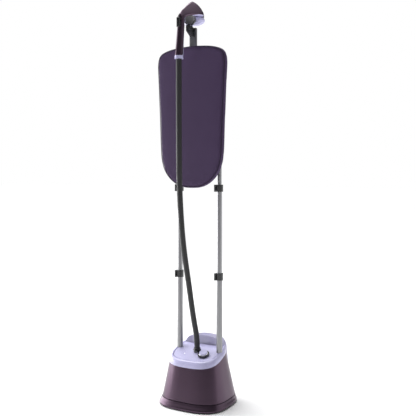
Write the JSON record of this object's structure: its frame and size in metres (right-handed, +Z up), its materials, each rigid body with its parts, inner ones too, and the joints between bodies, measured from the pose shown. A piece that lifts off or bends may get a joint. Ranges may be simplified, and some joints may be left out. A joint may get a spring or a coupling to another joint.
{
  "type": "garment steamer",
  "caption": "Standing garment steamer: base with lift-out water tank, telescopic poles, upright padded board, and a hand-held steam head on a hose, resting in a cradle.",
  "frame": {"origin": "on the floor, under the middle of the whole steamer without its hose", "axes": "+Z up, +X to the right of the board seen from the front, -Y towards the user, the side that the board and the handset face"},
  "size_m": [0.309, 0.294, 1.5606],
  "materials": {
    "plum_gloss": "gloss",
    "lavender_gloss": "gloss",
    "tank_tinted": "gloss, tinted",
    "feet_rubber": "matte",
    "bright_steel": "satin",
    "black_plastic": "satin",
    "grey_plastic": "satin",
    "lamp_white": "frosted",
    "boiler_alloy": "cast",
    "plate_chrome": "polished",
    "fuse_glass": "gloss",
    "pump_grey": "matte",
    "circuit_green": "satin",
    "silicone_tube": "satin",
    "hose_black": "matte braid",
    "board_tray": "matte",
    "board_foam": "open cell foam",
    "board_cloth": "woven"
  },
  "bodies": {
    "base": {"plinth": "plum_gloss", "rubber_feet": "feet_rubber", "base_screws": "bright_steel", "housing": "plum_gloss", "deck_rim": "lavender_gloss", "deck_panel": "lavender_gloss", "power_light": "lamp_white", "cable_gland": "black_plastic", "drain_cap": "black_plastic", "pole_sockets": "black_plastic", "lower_tube_left": "bright_steel", "lower_tube_right": "bright_steel", "lower_collar_left": "black_plastic", "lower_collar_right": "black_plastic", "dial_switch": "black_plastic", "hose_socket": "black_plastic", "hose_lower": "hose_black", "boiler": "boiler_alloy", "heater": "bright_steel", "thermostat": "black_plastic", "thermal_fuse": "fuse_glass", "water_pump": "pump_grey", "control_board": "circuit_green", "feed_tube": "silicone_tube", "steam_pipe": "silicone_tube"},
    "dial": {"dial_skirt": "black_plastic", "dial_cap": "lavender_gloss"},
    "water_tank": {"tank_shell": "tank_tinted", "tank_valve": "feet_rubber"},
    "tank_lid": {"filler_lid": "lavender_gloss"},
    "lower_left_lever": {"lower_lever_left": "black_plastic"},
    "lower_right_lever": {"lower_lever_right": "black_plastic"},
    "middle_poles": {"middle_tube_left": "bright_steel", "middle_tube_right": "bright_steel", "middle_bushes": "black_plastic", "upper_collar_left": "black_plastic", "upper_collar_right": "black_plastic", "hose_middle": "hose_black"},
    "upper_left_lever": {"upper_lever_left": "black_plastic"},
    "upper_right_lever": {"upper_lever_right": "black_plastic"},
    "upper_frame": {"upper_tube_left": "bright_steel", "upper_tube_right": "bright_steel", "upper_bushes": "black_plastic", "yoke": "black_plastic", "board_tray": "board_tray", "board_foam": "board_foam", "board_cover": "board_cloth", "board_screws": "bright_steel", "mast": "bright_steel", "hook_arm": "black_plastic", "cradle": "grey_plastic", "hose_upper": "hose_black"},
    "handset": {"handset_shell": "plum_gloss", "handle_cap": "lavender_gloss", "head_belly": "lavender_gloss", "steam_plate": "plate_chrome", "steam_chamber": "boiler_alloy", "handset_pipe": "silicone_tube", "microswitch": "black_plastic"},
    "steam_trigger": {"trigger": "black_plastic"}
  },
  "joints": [
    {"name": "dial_turn", "type": "hinge", "parent": "base", "child": "dial", "pos_m": [0.0413, -0.012, 0.19285], "axis": [0, -0.2873, 0.9578], "range_deg": [-135, 135]},
    {"name": "tank_lift", "type": "slide", "parent": "base", "child": "water_tank", "axis": [0, 0, 1], "range_m": [0, 0.19]},
    {"name": "lid_turn", "type": "hinge", "parent": "water_tank", "child": "tank_lid", "pos_m": [0, 0.0935, 0.2488], "axis": [-1, 0, 0], "range_deg": [0, 100]},
    {"name": "lower_left_lever_turn", "type": "hinge", "parent": "base", "child": "lower_left_lever", "pos_m": [-0.1007, 0.01253, 0.4955], "axis": [0, 0, 1], "range_deg": [0, 75]},
    {"name": "lower_right_lever_turn", "type": "hinge", "parent": "base", "child": "lower_right_lever", "pos_m": [0.0773, 0.01253, 0.4955], "axis": [0, 0, 1], "range_deg": [0, 75]},
    {"name": "middle_poles_slide", "type": "slide", "parent": "base", "child": "middle_poles", "axis": [0, 0, 1], "range_m": [-0.3, 0], "deforming": ["hose_lower"]},
    {"name": "upper_left_lever_turn", "type": "hinge", "parent": "middle_poles", "child": "upper_left_lever", "pos_m": [-0.1007, 0.01253, 0.8385], "axis": [0, 0, 1], "range_deg": [0, 75]},
    {"name": "upper_right_lever_turn", "type": "hinge", "parent": "middle_poles", "child": "upper_right_lever", "pos_m": [0.0773, 0.01253, 0.8385], "axis": [0, 0, 1], "range_deg": [0, 75]},
    {"name": "upper_frame_slide", "type": "slide", "parent": "middle_poles", "child": "upper_frame", "axis": [0, 0, 1], "range_m": [-0.2, 0], "deforming": ["hose_middle"]},
    {"name": "handset_lift", "type": "slide", "parent": "upper_frame", "child": "handset", "axis": [0, 0, 1], "range_m": [0, 0.08], "deforming": ["hose_upper"]},
    {"name": "trigger_press", "type": "slide", "parent": "handset", "child": "steam_trigger", "axis": [0, 1, 0], "range_m": [0, 0.002], "stiffness_N_per_m": 900, "springref_m": -0.001}
  ]
}
